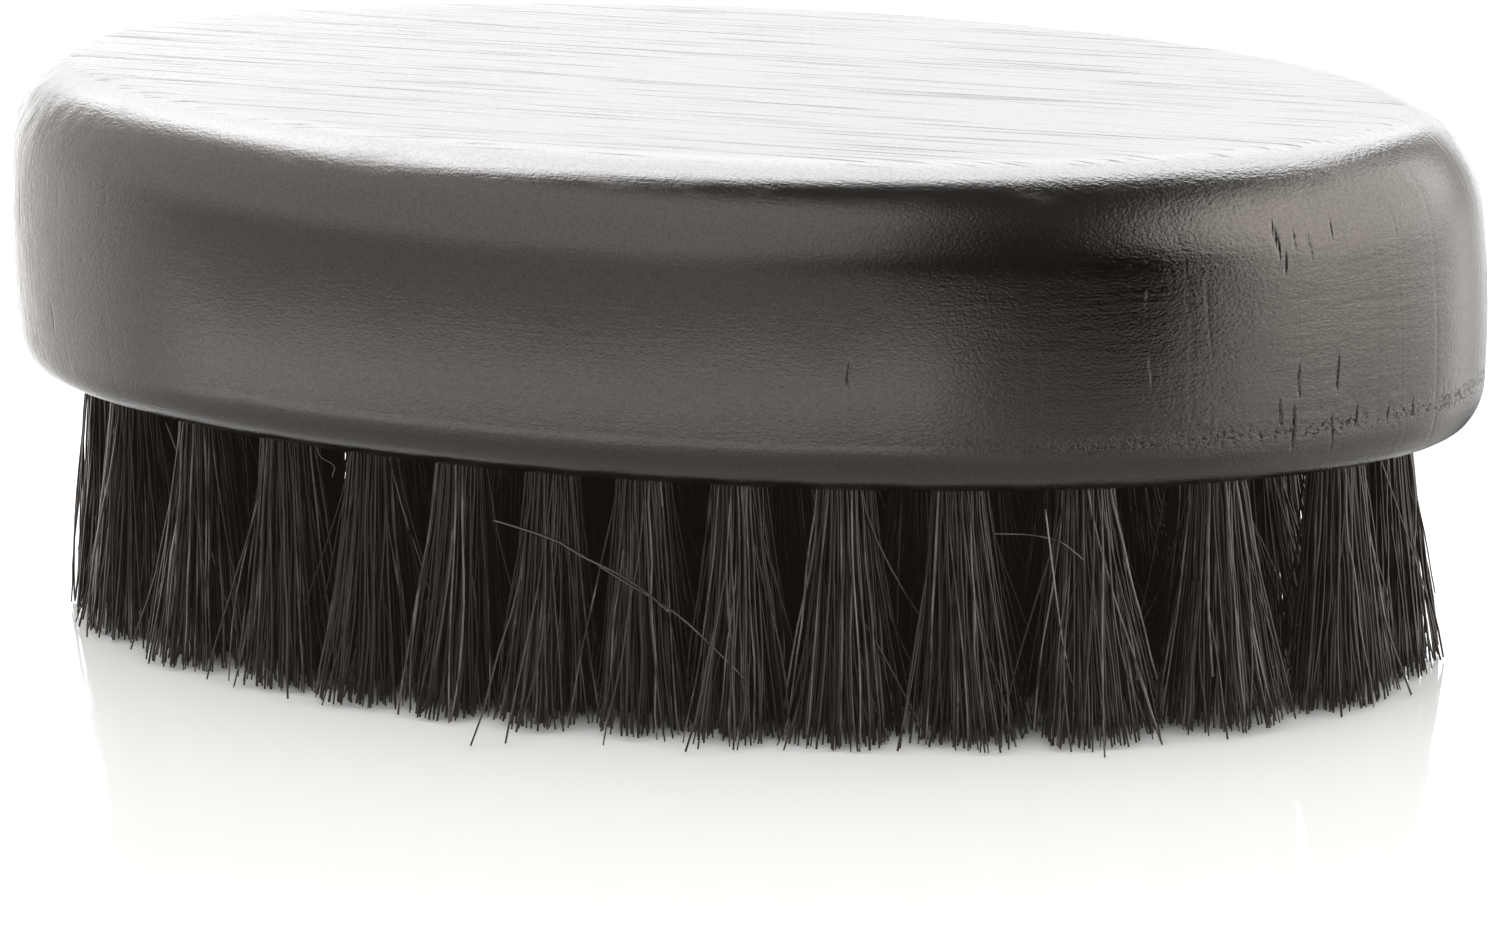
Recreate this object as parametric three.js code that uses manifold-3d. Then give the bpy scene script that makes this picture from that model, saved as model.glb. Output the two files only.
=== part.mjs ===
// Oval palm brush for beards. A lacquered hardwood block is drilled with blind holes
// from below, and each hole holds one bristle tuft. The tufts stand in three oval rings.
// Millimetres, +Z up. The origin lies under the middle of the block, in the plane of the
// bristle tips, with the long axis along X.
import * as THREE from 'three';
import { mergeGeometries, mergeVertices } from 'three/addons/utils/BufferGeometryUtils.js';
import Module from 'manifold-3d';

// Driving dimensions
const BLOCK_LENGTH = 120;
const BLOCK_WIDTH = 62;
const BLOCK_HEIGHT = 24;
const BRISTLE_LENGTH = 19.5; // from the underside of the block to the trimmed tips
const TOP_ROUND_INSET = 6.5;
const TOP_ROUND_DROP = 7.5;
const BOTTOM_ROUND_INSET = 2.5;
const BOTTOM_ROUND_RISE = 4;
const SIDE_CROWN = 0.25; // the side wall bellies out by this much at mid height

const HOLE_DIAMETER = 4.7;
const HOLE_DEPTH = 9;
const TUFT_DIAMETER = 4.1; // where the tuft fills its hole and leaves the wood
const CLEARANCE = 0.3;
const WIDEST_TIP = 4.8; // largest tip radius

// Rings of tufts, from the outside in. The outer ring is drilled more closely along the
// sides than round the ends: its pitch varies by the pitchWave fraction. A ring's first
// tuft stands at the +X end, or past it by the start fraction of the pitch. At the tips a
// tuft spreads until it nearly meets the next one, and by tipDepth across the ring where
// that is given, and its tip leans out of the ring by lean.
const RINGS = [
  {
    name: 'outer_tuft',
    halfLength: 51.7,
    halfWidth: 25.4,
    count: 28,
    start: 0.5,
    pitchWave: 0.17,
    tipDepth: 3.2,
    lean: 0.3,
  },
  { name: 'middle_tuft', halfLength: 42, halfWidth: 15.8, count: 18, start: 0.5, pitchWave: 0, lean: 0 },
  { name: 'inner_tuft', halfLength: 31.5, halfWidth: 6.2, count: 12, start: 0, pitchWave: 0, lean: 0 },
];

// Faceting
const BLOCK_SIDES = 64;
const ROUND_STEPS = 4;
const CROWN_STEPS = 2;
const TUFT_SIDES = 8;
const TUFT_BANDS = 4; // one in the hole, the rest where the tuft fans out
const FAN_CURVE = 1.3; // above 1, most of the fanning is near the tips

const UNDERSIDE = BRISTLE_LENGTH;
const TOP = BRISTLE_LENGTH + BLOCK_HEIGHT;
const QUARTER_TURN = Math.PI / 2;
const ON_AXIS = 1e-6;

const wasm = await Module();
wasm.setup();

const lacqueredWood = () =>
  new THREE.MeshStandardMaterial({ color: 0x2b2624, roughness: 0.35, metalness: 0 });
const bristle = () =>
  new THREE.MeshStandardMaterial({ color: 0x1d1816, roughness: 0.6, metalness: 0 });

function toManifold(geometry) {
  const bare = geometry.clone();
  bare.deleteAttribute('normal');
  bare.deleteAttribute('uv');
  const merged = mergeVertices(bare);
  return new wasm.Manifold(
    new wasm.Mesh({
      numProp: 3,
      vertProperties: Float32Array.from(merged.attributes.position.array),
      triVerts: Uint32Array.from(merged.index.array),
    }),
  );
}

function fromManifold(solid) {
  const { vertProperties, triVerts } = solid.getMesh();
  const geometry = new THREE.BufferGeometry();
  geometry.setAttribute('position', new THREE.BufferAttribute(vertProperties, 3));
  geometry.setIndex(new THREE.BufferAttribute(triVerts, 1));
  geometry.computeVertexNormals();
  return geometry;
}

// Moves each vertex of a geometry to the place that the function gives for it.
function reshape(geometry, place) {
  const { position } = geometry.attributes;
  const vertex = new THREE.Vector3();
  for (let i = 0; i < position.count; i += 1) {
    vertex.fromBufferAttribute(position, i);
    place(vertex);
    position.setXYZ(i, vertex.x, vertex.y, vertex.z);
  }
  return geometry;
}

// The block's edge profile as (inset from the oval, height), from the underside up.
function blockProfile() {
  const points = [];
  for (let i = 0; i <= ROUND_STEPS; i += 1) {
    const angle = (QUARTER_TURN * i) / ROUND_STEPS;
    const inset = SIDE_CROWN + BOTTOM_ROUND_INSET * (1 - Math.sin(angle));
    points.push([inset, UNDERSIDE + BOTTOM_ROUND_RISE * (1 - Math.cos(angle))]);
  }
  const wallLow = UNDERSIDE + BOTTOM_ROUND_RISE;
  const wallHigh = TOP - TOP_ROUND_DROP;
  for (let i = 1; i < 2 * CROWN_STEPS; i += 1) {
    const along = i / (2 * CROWN_STEPS);
    const crown = 1 - (2 * along - 1) ** 2;
    points.push([SIDE_CROWN * (1 - crown), wallLow + (wallHigh - wallLow) * along]);
  }
  for (let i = 0; i <= ROUND_STEPS; i += 1) {
    const angle = (QUARTER_TURN * i) / ROUND_STEPS;
    const inset = SIDE_CROWN + TOP_ROUND_INSET * (1 - Math.cos(angle));
    points.push([inset, TOP - TOP_ROUND_DROP * (1 - Math.sin(angle))]);
  }
  return points;
}

// A lathe turned with the same profile, then pushed out to the oval: each ring keeps its
// inset, measured square to the oval, all the way round.
function ovalBlock() {
  const halfLength = BLOCK_LENGTH / 2;
  const halfWidth = BLOCK_WIDTH / 2;
  const outline = blockProfile().map(([inset, height]) => new THREE.Vector2(halfLength - inset, height));
  const profile = [new THREE.Vector2(0, UNDERSIDE), ...outline, new THREE.Vector2(0, TOP)];
  const lathe = new THREE.LatheGeometry(profile, BLOCK_SIDES).rotateX(QUARTER_TURN);
  return reshape(lathe, (vertex) => {
    const radius = Math.hypot(vertex.x, vertex.y);
    if (radius < ON_AXIS) {
      return;
    }
    const cos = vertex.x / radius;
    const sin = vertex.y / radius;
    const inset = halfLength - radius;
    const normal = new THREE.Vector2(cos / halfLength, sin / halfWidth).normalize();
    vertex.x = halfLength * cos - inset * normal.x;
    vertex.y = halfWidth * sin - inset * normal.y;
  });
}

// Where each tuft stands, and how its ring turns there.
function tuftPlaces() {
  const places = [];
  for (const ring of RINGS) {
    const oval = new THREE.EllipseCurve(0, 0, ring.halfLength, ring.halfWidth, 0, 2 * Math.PI);
    for (let i = 0; i < ring.count; i += 1) {
      const even = (i + ring.start) / ring.count;
      const along = even + (ring.pitchWave / (4 * Math.PI)) * Math.sin(4 * Math.PI * even);
      const point = oval.getPointAt(along);
      const tangent = oval.getTangentAt(along);
      const name = `${ring.name}_${String(i + 1).padStart(2, '0')}`;
      places.push({ name, ring, point, outward: Math.atan2(-tangent.x, tangent.y) });
    }
  }
  for (const place of places) {
    const others = places.filter((other) => other !== place);
    const distances = others.map((other) => other.point.distanceTo(place.point));
    place.tipRadius = Math.min(WIDEST_TIP, (Math.min(...distances) - CLEARANCE) / 2);
  }
  return places;
}

function drilledHoles(places) {
  const holes = places.map(({ point }) => {
    const drill = new THREE.CylinderGeometry(HOLE_DIAMETER / 2, HOLE_DIAMETER / 2, 2 * HOLE_DEPTH, TUFT_SIDES);
    return drill.rotateX(QUARTER_TURN).translate(point.x, point.y, UNDERSIDE);
  });
  return mergeGeometries(holes);
}

function handleBlock(places) {
  const solid = toManifold(ovalBlock()).subtract(toManifold(drilledHoles(places)));
  const mesh = new THREE.Mesh(fromManifold(solid), lacqueredWood());
  mesh.name = 'handle_block';
  return mesh;
}

// A tuft is straight inside its hole and fans out below it. Local x points out of the ring.
function tuft({ name, ring, point, outward, tipRadius }) {
  const rootLength = HOLE_DEPTH - CLEARANCE;
  const tipDepth = ring.tipDepth ?? tipRadius;
  const rootRadius = TUFT_DIAMETER / 2;
  const stem = new THREE.CylinderGeometry(1, 1, 1, TUFT_SIDES, TUFT_BANDS).rotateX(QUARTER_TURN);
  const geometry = reshape(stem, (vertex) => {
    const band = Math.round((0.5 - vertex.z) * TUFT_BANDS);
    const below = Math.max(0, band - 1) / (TUFT_BANDS - 1);
    const fan = below ** FAN_CURVE;
    vertex.x = vertex.x * THREE.MathUtils.lerp(rootRadius, tipDepth, fan) + ring.lean * fan;
    vertex.y *= THREE.MathUtils.lerp(rootRadius, tipRadius, fan);
    vertex.z = band === 0 ? UNDERSIDE + rootLength : UNDERSIDE * (1 - below);
  });
  const mesh = new THREE.Mesh(geometry, bristle());
  mesh.name = name;
  mesh.position.set(point.x, point.y, 0);
  mesh.rotation.z = outward;
  return mesh;
}

const brush = new THREE.Group();
const places = tuftPlaces();
brush.add(handleBlock(places));
for (const place of places) {
  brush.add(tuft(place));
}

export default brush;
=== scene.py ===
"""Looks of the oval palm beard brush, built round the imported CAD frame.

The block is rebuilt as one fine mesh with real holes, checks and pits. Each CAD tuft is
replaced by separate bristles, folded in half over a flat wire anchor in the bottom of
their hole. Everything is in metres, in the frame of the CAD part.
"""
import math

import bpy
import numpy as np
from mathutils import Matrix, Vector
from mathutils.geometry import delaunay_2d_cdt


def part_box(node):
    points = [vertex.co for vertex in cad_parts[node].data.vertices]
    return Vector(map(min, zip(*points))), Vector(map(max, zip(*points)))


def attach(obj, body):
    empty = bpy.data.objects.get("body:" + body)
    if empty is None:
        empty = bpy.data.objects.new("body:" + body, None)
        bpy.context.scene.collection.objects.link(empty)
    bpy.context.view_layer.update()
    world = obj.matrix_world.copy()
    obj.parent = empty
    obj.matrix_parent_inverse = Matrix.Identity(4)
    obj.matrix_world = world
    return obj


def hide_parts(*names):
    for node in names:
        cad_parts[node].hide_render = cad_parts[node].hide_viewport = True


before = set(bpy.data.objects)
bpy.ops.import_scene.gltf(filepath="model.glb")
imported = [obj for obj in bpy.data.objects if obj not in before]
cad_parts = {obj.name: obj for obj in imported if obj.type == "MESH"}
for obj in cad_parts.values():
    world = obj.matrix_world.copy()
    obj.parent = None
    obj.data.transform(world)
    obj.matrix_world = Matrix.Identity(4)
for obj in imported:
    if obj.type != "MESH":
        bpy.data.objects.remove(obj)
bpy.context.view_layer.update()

MM = 0.001
SEED = 7411

# ---------------------------------------------------------------- block dimensions
BLOCK_LOW, BLOCK_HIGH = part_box("handle_block")
HALF_LENGTH = BLOCK_HIGH.x
HALF_WIDTH = BLOCK_HIGH.y
UNDERSIDE = BLOCK_LOW.z
TOP = BLOCK_HIGH.z
TOP_ROUND = (6.5 * MM, 7.5 * MM)  # inset, drop
BOTTOM_ROUND = (2.5 * MM, 4.0 * MM)  # inset, rise
SIDE_CROWN = 0.25 * MM
HOLE_RADIUS = 2.3 * MM
HOLE_DEPTH = 9 * MM

# ---------------------------------------------------------------- bristle dimensions
ROOT_RADIUS = 2.05 * MM
ANCHOR_LENGTH = 5.2 * MM
ANCHOR_HEIGHT = 1.8 * MM
ANCHOR_THICKNESS = 0.3 * MM
ANCHOR_TOP = UNDERSIDE + 6.6 * MM
STRANDS = {"outer": 120, "middle": 100, "inner": 80}
STRAND_SIDES = 5

TUFTS = sorted(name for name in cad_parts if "_tuft_" in name)


# ================================================================ node helpers
def material(name):
    mat = bpy.data.materials.new(name)
    mat.use_nodes = True
    mat.node_tree.nodes.clear()
    return mat, mat.node_tree


def add(tree, kind, inputs=None, **props):
    node = tree.nodes.new(kind)
    for key, value in props.items():
        setattr(node, key, value)
    for key, value in (inputs or {}).items():
        if isinstance(value, bpy.types.NodeSocket):
            tree.links.new(value, node.inputs[key])
        else:
            node.inputs[key].default_value = value
    return node


def math_node(tree, operation, *values):
    node = add(tree, "ShaderNodeMath", operation=operation)
    for i, value in enumerate(values):
        if isinstance(value, bpy.types.NodeSocket):
            tree.links.new(value, node.inputs[i])
        else:
            node.inputs[i].default_value = value
    return node.outputs[0]


def times(tree, first, second):
    return math_node(tree, "MULTIPLY", first, second)


def plus(tree, first, *others):
    for other in others:
        first = math_node(tree, "ADD", first, other)
    return first


def minus(tree, first, second):
    return math_node(tree, "SUBTRACT", first, second)


def smooth_range(tree, value, low, high, to_low=0.0, to_high=1.0):
    node = add(
        tree,
        "ShaderNodeMapRange",
        {"Value": value, "From Min": low, "From Max": high, "To Min": to_low, "To Max": to_high},
        interpolation_type="SMOOTHSTEP",
    )
    return node.outputs["Result"]


def ramp(tree, value, stops):
    node = add(tree, "ShaderNodeValToRGB", {"Fac": value})
    elements = node.color_ramp.elements
    while len(elements) < len(stops):
        elements.new(0.5)
    for element, (position, color) in zip(elements, stops):
        element.position = position
        element.color = (*color, 1)
    return node.outputs["Color"]


def noise(tree, vector, scale, detail, roughness, stretch):
    mapped = add(tree, "ShaderNodeMapping", {"Vector": vector, "Scale": stretch})
    node = add(
        tree,
        "ShaderNodeTexNoise",
        {"Vector": mapped.outputs["Vector"], "Scale": scale, "Detail": detail, "Roughness": roughness},
    )
    return node.outputs["Fac"]


# ================================================================ camera
CAMERA_AZIMUTH = 24.04  # degrees from -Y towards +X
CAMERA_ELEVATION = 13.99
CAMERA_DISTANCE = 780 * MM
CAMERA_ROLL = -1.96
CAMERA_LENS = 245.3
LOOK_HEIGHT = 22 * MM
LOOK_RIGHT = 0.93 * MM
LOOK_UP = -9.24 * MM


def make_camera():
    azimuth, elevation = math.radians(CAMERA_AZIMUTH), math.radians(CAMERA_ELEVATION)
    roll = math.radians(CAMERA_ROLL)
    level = math.cos(elevation)
    towards = Vector((math.sin(azimuth) * level, -math.cos(azimuth) * level, math.sin(elevation)))
    centre = Vector((0, 0, LOOK_HEIGHT))
    position = centre + towards * CAMERA_DISTANCE
    right = (-towards).cross(Vector((0, 0, 1))).normalized()
    up = right.cross(-towards)
    target = centre + right * LOOK_RIGHT + up * LOOK_UP
    forward = (target - position).normalized()
    right = forward.cross(Vector((0, 0, 1))).normalized()
    up = right.cross(forward)
    rolled_right = right * math.cos(roll) + up * math.sin(roll)
    rolled_up = up * math.cos(roll) - right * math.sin(roll)
    data = bpy.data.cameras.new("camera")
    data.lens = CAMERA_LENS
    data.sensor_width = 36
    data.clip_start = 0.01
    camera = bpy.data.objects.new("camera", data)
    camera.matrix_world = Matrix(
        (
            (rolled_right.x, rolled_up.x, -forward.x, position.x),
            (rolled_right.y, rolled_up.y, -forward.y, position.y),
            (rolled_right.z, rolled_up.z, -forward.z, position.z),
            (0, 0, 0, 1),
        )
    )
    bpy.context.scene.collection.objects.link(camera)
    bpy.context.scene.camera = camera


# ================================================================ studio
# The studio is a dome of soft cards. Angles are in degrees: azimuth from the side of the
# dome that the front of the brush faces, positive to the right, and elevation above the
# horizon. Below the horizon the cards stand for the table top that the lacquer reflects.
DOME_FRONT = 24.0
# name: (azimuth, elevation), half size, corner radius, edge softness, brightness
DOME_CARDS = {
    "left softbox": ((-86, 33), (66, 29), 20, 9, 2.35),
    "right softbox": ((69, 28), (54, 32), 32, 13, 7.0),
    "black flag": ((18, 4), (9, 12), 9, 8, -1.5),
    "table, right": ((72, -15), (54, 14), 12, 10, 3.0),
    "left softbox, foot": ((-128, -3), (36, 8), 8, 6, 0.35),
    "far right": ((134, 10), (24, 34), 20, 12, 1.9),
    "table, left": ((-105, -14), (88, 16), 12, 7, 1.28),
    "table, far left": ((-136, -8), (34, 16), 10, 8, 1.0),
    "white card on the table": ((-55, -18.2), (41, 4.0), 4.0, 2.2, 2.1),
    "end of the white card": ((-16, -11.5), (6, 3.5), 3.5, 2.4, 1.1),
    "table, middle": ((5, -22.3), (24, 11), 6, 2.5, 0.88),
    "table, near": ((0, -80), (400, 51), 8, 7, 0.95),
    "table, near right": ((88, -46), (52, 20), 12, 10, 0.75),
    "ceiling": ((0, 90), (400, 52), 14, 12, 0.15),
    "ceiling, right": ((95, 80), (60, 16), 12, 10, 0.6),
}
DOME_FILL = 0.06
# A white sweep rises behind the brush and runs into a long softbox overhead. Its angle is
# measured from the horizon behind, up and over towards the front.
SWEEP_ANGLE = (12, 80)
SWEEP_BRIGHTNESS = (2.43, 18.0)
SWEEP_FRONT_EDGE = (81, 83.5)
SWEEP_HALF_WIDTH = (0.42, 0.58)
SWEEP_OFFSET = 0.06
SWEEP_FOOT = (-26, 0)  # it fades out below the horizon
# Matt surfaces are lit by a plainer, softer dome: (from behind, from the front)
SOFT_BRIGHTNESS = (1.15, 2.3)
SOFT_BLEND = 0.6
CARD_TINT = (1.0, 0.985, 0.97, 1)
SWEEP_TINTS = ((0.985, 0.99, 1.0), (0.885, 0.94, 1.0))  # at the horizon, overhead
BLACK_POINT = (0.0064, 0.0053, 0.0038)  # the darkest tone of the picture


def card_mask(tree, azimuth, elevation, centre, half, corner, soft):
    """1 inside a card with rounded corners, fading to 0 over its soft edge."""
    beyond = []
    for value, middle, reach in zip((azimuth, elevation), centre, half):
        off = minus(tree, math_node(tree, "ABSOLUTE", minus(tree, value, middle)), reach - corner)
        beyond.append(math_node(tree, "MAXIMUM", off, 0.0))
    away = math_node(tree, "SQRT", plus(tree, *(times(tree, off, off) for off in beyond)))
    return smooth_range(tree, away, corner - soft, corner + soft, 1.0, 0.0)


def make_world():
    world = bpy.data.worlds.new("studio")
    bpy.context.scene.world = world
    world.use_nodes = True
    tree = world.node_tree
    tree.nodes.clear()
    coords = add(tree, "ShaderNodeTexCoord").outputs["Generated"]
    turned = add(
        tree,
        "ShaderNodeVectorRotate",
        {"Vector": coords, "Angle": math.radians(-DOME_FRONT)},
        rotation_type="Z_AXIS",
    ).outputs["Vector"]
    axes = add(tree, "ShaderNodeSeparateXYZ", {"Vector": turned})
    x, y, z = axes.outputs["X"], axes.outputs["Y"], axes.outputs["Z"]
    degrees = 180 / math.pi
    azimuth = times(tree, math_node(tree, "ARCTAN2", x, times(tree, y, -1.0)), degrees)
    elevation = times(tree, math_node(tree, "ARCSINE", z), degrees)
    total = DOME_FILL
    for centre, half, corner, soft, brightness in DOME_CARDS.values():
        card = card_mask(tree, azimuth, elevation, centre, half, corner, soft)
        total = plus(tree, times(tree, card, brightness), total)
    over = times(tree, math_node(tree, "ARCTAN2", z, y), degrees)
    low, high = SWEEP_BRIGHTNESS
    share = add(
        tree,
        "ShaderNodeMapRange",
        {"Value": over, "From Min": SWEEP_ANGLE[0], "From Max": SWEEP_ANGLE[1]},
    ).outputs["Result"]
    sweep = math_node(tree, "MULTIPLY_ADD", share, high - low, low)
    aside = math_node(tree, "ABSOLUTE", plus(tree, x, SWEEP_OFFSET))
    back = times(tree, sweep, smooth_range(tree, aside, *SWEEP_HALF_WIDTH, 1.0, 0.0))
    back = times(tree, back, smooth_range(tree, over, *SWEEP_FRONT_EDGE, 1.0, 0.0))
    back = times(tree, back, smooth_range(tree, over, *SWEEP_FOOT))
    cards = add(tree, "ShaderNodeBackground", {"Strength": total, "Color": CARD_TINT})
    tint = ramp(tree, share, tuple(enumerate(SWEEP_TINTS)))
    behind = add(tree, "ShaderNodeBackground", {"Strength": back, "Color": tint})
    studio = add(tree, "ShaderNodeAddShader", {0: cards.outputs[0], 1: behind.outputs[0]})
    facing = smooth_range(tree, y, -SOFT_BLEND, SOFT_BLEND, SOFT_BRIGHTNESS[1], SOFT_BRIGHTNESS[0])
    soft = add(tree, "ShaderNodeBackground", {"Strength": facing, "Color": CARD_TINT})
    plain = add(tree, "ShaderNodeBackground", {"Strength": 1.0, "Color": (1, 1, 1, 1)})
    light_path = add(tree, "ShaderNodeLightPath")
    lit = add(
        tree,
        "ShaderNodeMixShader",
        {0: light_path.outputs["Is Diffuse Ray"], 1: studio.outputs[0], 2: soft.outputs[0]},
    )
    mixed = add(
        tree,
        "ShaderNodeMixShader",
        {0: light_path.outputs["Is Camera Ray"], 1: lit.outputs[0], 2: plain.outputs[0]},
    )
    add(tree, "ShaderNodeOutputWorld", {"Surface": mixed.outputs["Shader"]})
    world.cycles.sampling_method = "NONE"


FLOOR_SIZE = 6.0
FLOOR_COLOR = (0.8, 0.805, 0.80, 1)
FLOOR_ROUGHNESS = 0.08
NEAR_FLOOR = (1.1, 1.2)  # the part close under the tips, in block half sizes
NEAR_FLOOR_SIDES = 96


def make_floor():
    """A sheet with an oval hole, and an oval that fills it, close under the brush.

    The lacquer reflects the cards of the dome, not the sheet; the bristles reflect the oval.
    """
    mat, tree = material("floor")
    shader = add(
        tree,
        "ShaderNodeBsdfPrincipled",
        {"Base Color": FLOOR_COLOR, "Roughness": FLOOR_ROUGHNESS, "Specular IOR Level": 0.5},
    )
    add(tree, "ShaderNodeOutputMaterial", {"Surface": shader.outputs["BSDF"]})
    turns = [2 * math.pi * i / NEAR_FLOOR_SIDES for i in range(NEAR_FLOOR_SIDES)]
    oval = [
        (NEAR_FLOOR[0] * HALF_LENGTH * math.cos(a), NEAR_FLOOR[1] * HALF_WIDTH * math.sin(a), 0)
        for a in turns
    ]
    rim = [(FLOOR_SIZE / 2 * math.cos(a), FLOOR_SIZE / 2 * math.sin(a), 0) for a in turns]
    n = NEAR_FLOOR_SIDES
    sheet = [(i, n + i, n + (i + 1) % n, (i + 1) % n) for i in range(n)]
    for name, verts, faces in (("floor_sheet", oval + rim, sheet), ("floor_near", oval, [tuple(range(n))])):
        mesh = bpy.data.meshes.new(name)
        mesh.from_pydata(verts, [], faces)
        mesh.materials.append(mat)
        floor = bpy.data.objects.new(name, mesh)
        bpy.context.scene.collection.objects.link(floor)
        floor.visible_glossy = name == "floor_near"


def set_colours():
    view = bpy.context.scene.view_settings
    view.view_transform = "Standard"
    view.look = "None"
    view.use_curve_mapping = True
    for curve, darkest in zip(view.curve_mapping.curves, BLACK_POINT):
        curve.points[0].location = (0, darkest)
    view.curve_mapping.update()


# ================================================================ block
AROUND = 1400
END_GRAIN_DENSITY = 3.0  # how much closer the columns stand round the ends
CHECK_DENSITY = 5.0  # and at each check, within this distance of it
CHECK_NEAR = 0.22 * MM
TOP_GRID = 1.6 * MM
FINE_STEPS = 20001  # for measuring along the rim
# Rows up the side, and how they crowd: below 1 towards the wall, above 1 towards its foot
BOTTOM_ROWS, BOTTOM_CROWDING = 17, 0.75
WALL_ROWS, WALL_CROWDING = 57, 1.25
TOP_ROWS = 20


def rim_distance(angle, centre):
    """Distance along the rim from its point at the angle centre, for angles near it."""
    off = np.angle(np.exp(1j * (angle - centre)))
    return off * math.hypot(HALF_LENGTH * math.sin(centre), HALF_WIDTH * math.cos(centre))


def oval_angles():
    """Angles round the oval, closer together round the ends and closest at the checks."""
    t = np.linspace(0, 2 * np.pi, FINE_STEPS)
    x, y = HALF_LENGTH * np.cos(t), HALF_WIDTH * np.sin(t)
    step = np.hypot(np.diff(x), np.diff(y))
    density = 1 + END_GRAIN_DENSITY * (np.abs(x[1:]) / HALF_LENGTH) ** 4
    for turned in (0, np.pi):
        for degrees in sorted({degrees for degrees, *_ in CHECKS}):
            away = rim_distance(t[1:], math.radians(degrees) + turned)
            density += CHECK_DENSITY * np.exp(-((away / CHECK_NEAR) ** 2))
    travelled = np.concatenate([[0], np.cumsum(step * density)])
    wanted = np.arange(AROUND) / AROUND * travelled[-1]
    return np.interp(wanted, travelled, t)


def profile_rows():
    """(inset, height) of each row, from the underside up."""
    rows = []
    inset, rise = BOTTOM_ROUND
    for k in np.linspace(0, 1, BOTTOM_ROWS) ** BOTTOM_CROWDING * np.pi / 2:
        rows.append((SIDE_CROWN + inset * (1 - np.sin(k)), UNDERSIDE + rise * (1 - np.cos(k))))
    wall_low, wall_high = UNDERSIDE + rise, TOP - TOP_ROUND[1]
    for k in np.linspace(0, 1, WALL_ROWS)[1:-1] ** WALL_CROWDING:
        rows.append((SIDE_CROWN * (2 * k - 1) ** 2, wall_low + (wall_high - wall_low) * k))
    inset, drop = TOP_ROUND
    # the upper round-over starts at the slope that the crowned wall ends with
    first = math.atan(4 * SIDE_CROWN / (wall_high - wall_low) * drop / inset)
    for k in np.linspace(first, np.pi / 2, TOP_ROWS):
        inward = 1 - np.cos(k) / np.cos(first)
        down = (1 - np.sin(k)) / (1 - np.sin(first))
        rows.append((SIDE_CROWN + inset * inward, TOP - drop * down))
    return np.array(rows)


def lump_field(points, cell, seed):
    """Smooth noise from -1 to 1 at points, from random values on a grid of this cell size."""
    rng = np.random.default_rng(seed)
    size = 64
    values = rng.uniform(-1, 1, (size, size, size))
    scaled = points / cell
    base = np.floor(scaled).astype(int)
    f = scaled - base
    f = f * f * (3 - 2 * f)
    out = np.zeros(len(scaled))
    for corner in np.ndindex(2, 2, 2):
        weight = np.ones(len(scaled))
        for axis in range(3):
            weight *= f[:, axis] if corner[axis] else 1 - f[:, axis]
        index = (base + np.array(corner)) % size
        out += weight * values[index[:, 0], index[:, 1], index[:, 2]]
    return out


END_GRAIN_FROM = 0.62  # in half lengths from the middle
END_GRAIN_RUN = 0.3


def end_grain(points):
    """0 on the long sides of the block, rising to 1 round its two ends."""
    t = np.clip((np.abs(points[:, 0]) / HALF_LENGTH - END_GRAIN_FROM) / END_GRAIN_RUN, 0, 1)
    return t * t * (3 - 2 * t)


def oval_angle(points):
    return np.arctan2(points[:, 1] / HALF_WIDTH, points[:, 0] / HALF_LENGTH)


RIDGES_AN_END = 40
RIDGE_SPREAD = 0.75  # radians round each end
RIDGE_WIDTH = (0.07 * MM, 0.13 * MM)
RIDGE_DEPTH = (-0.010 * MM, 0.014 * MM)
RIDGE_WANDER = 0.1 * MM
RIDGE_WAVE = 2.5 * MM


def ridge_depths(points, rng):
    """Fine upright lines in the end grain, some proud of the lacquer and some sunk in it."""
    depth = np.zeros(len(points))
    angle = oval_angle(points)
    for end in (0, np.pi):
        for centre in end + rng.normal(0, RIDGE_SPREAD, RIDGES_AN_END):
            width = rng.uniform(*RIDGE_WIDTH)
            deep = rng.uniform(*RIDGE_DEPTH)
            wander = RIDGE_WANDER * np.sin(points[:, 2] / RIDGE_WAVE + rng.uniform(0, 6))
            across = (rim_distance(angle, centre) + wander) / width
            depth += deep * np.exp(-across * across)
    return depth


RINGS_AN_END = 9
RING_SPREAD = 0.4  # radians round each end
RING_HALF_ANGLE = (0.15, 0.5)
RING_HEIGHTS = (4.5, 21)  # mm over the underside
RING_WIDTH = (0.16, 0.26)  # mm
RING_DEPTH = (0.006 * MM, 0.018 * MM)
RING_WANDER = 0.25 * MM


def ring_depths(points, rng):
    """Long level lines round the ends, where growth rings come to the surface."""
    depth = np.zeros(len(points))
    angle = oval_angle(points)
    for end in (0, np.pi):
        for _ in range(RINGS_AN_END):
            centre = end + rng.normal(0, RING_SPREAD)
            off = np.angle(np.exp(1j * (angle - centre))) / rng.uniform(*RING_HALF_ANGLE)
            wander = RING_WANDER * np.sin(3 * off + rng.uniform(0, 6))
            height = UNDERSIDE + rng.uniform(*RING_HEIGHTS) * MM
            across = (points[:, 2] - height - wander) / (rng.uniform(*RING_WIDTH) * MM)
            deep = rng.uniform(*RING_DEPTH)
            depth += deep * np.exp(-across * across) * np.clip(1 - off * off, 0, 1)
    return depth


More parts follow.
